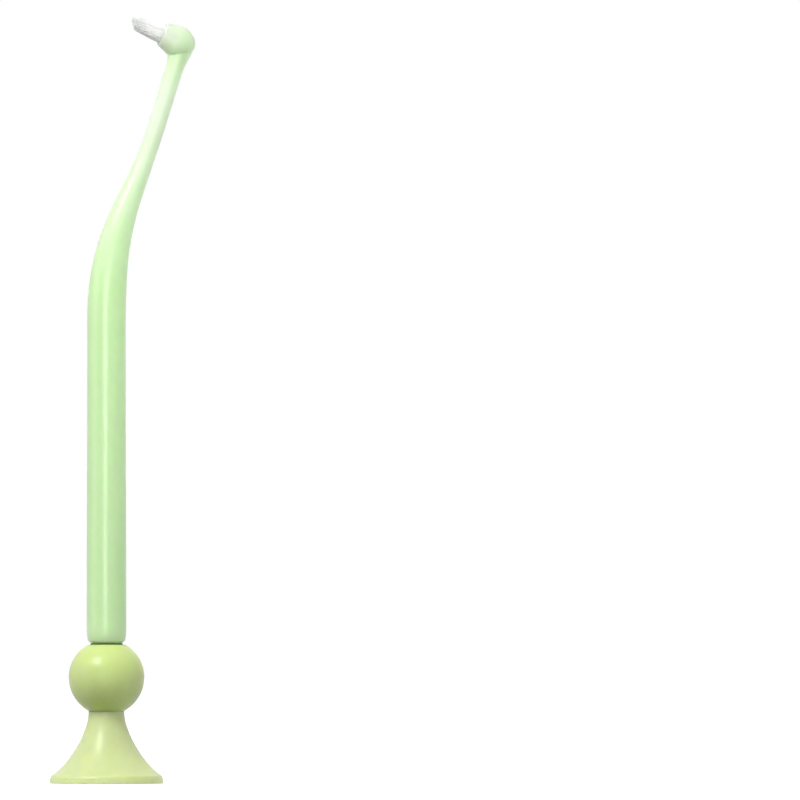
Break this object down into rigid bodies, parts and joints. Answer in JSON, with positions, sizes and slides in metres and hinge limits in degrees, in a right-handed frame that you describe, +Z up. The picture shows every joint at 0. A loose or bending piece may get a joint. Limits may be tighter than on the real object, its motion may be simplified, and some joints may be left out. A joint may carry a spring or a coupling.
{
  "type": "orthodontic toothbrush",
  "caption": "Slim translucent toothbrush with an angled neck and an end tuft, standing in a ball on a flared foot; the brush turns and lifts out.",
  "frame": {"origin": "centre of the underside of the foot pad, on the surface that the part stands on", "axes": "+Z up along the grip, the stand and the turning axis; the tuft faces -X; the bend of the neck lies in the XZ plane"},
  "size_m": [0.04, 0.031, 0.2085],
  "materials": {
    "mint_plastic": "translucent mint green, satin gloss",
    "pistachio_plastic": "opaque pistachio green, satin gloss",
    "nylon": "white nylon filaments",
    "elastomer": "soft green elastomer, matt",
    "pad_rubber": "grey non-slip rubber",
    "steel": "zinc-plated steel",
    "brass": "plain brass"
  },
  "bodies": {
    "stand": {"stand_skirt": "pistachio_plastic", "stand_ball": "pistachio_plastic", "foot_pad": "pad_rubber", "ballast_weight": "steel", "tie_screw": "steel", "screw_washer": "steel", "threaded_insert": "brass"},
    "sleeve": {"socket_sleeve": "elastomer"},
    "brush": {"handle": "mint_plastic", "bristle_tuft": "nylon", "tuft_anchor": "steel"}
  },
  "joints": [
    {"name": "brush_turn", "type": "hinge", "parent": "stand", "child": "sleeve", "pos_m": [0, 0, 0.028], "axis": [0, 0, 1], "continuous": true},
    {"name": "brush_lift", "type": "slide", "parent": "sleeve", "child": "brush", "axis": [0, 0, 1], "range_m": [0, 0.0095]}
  ]
}
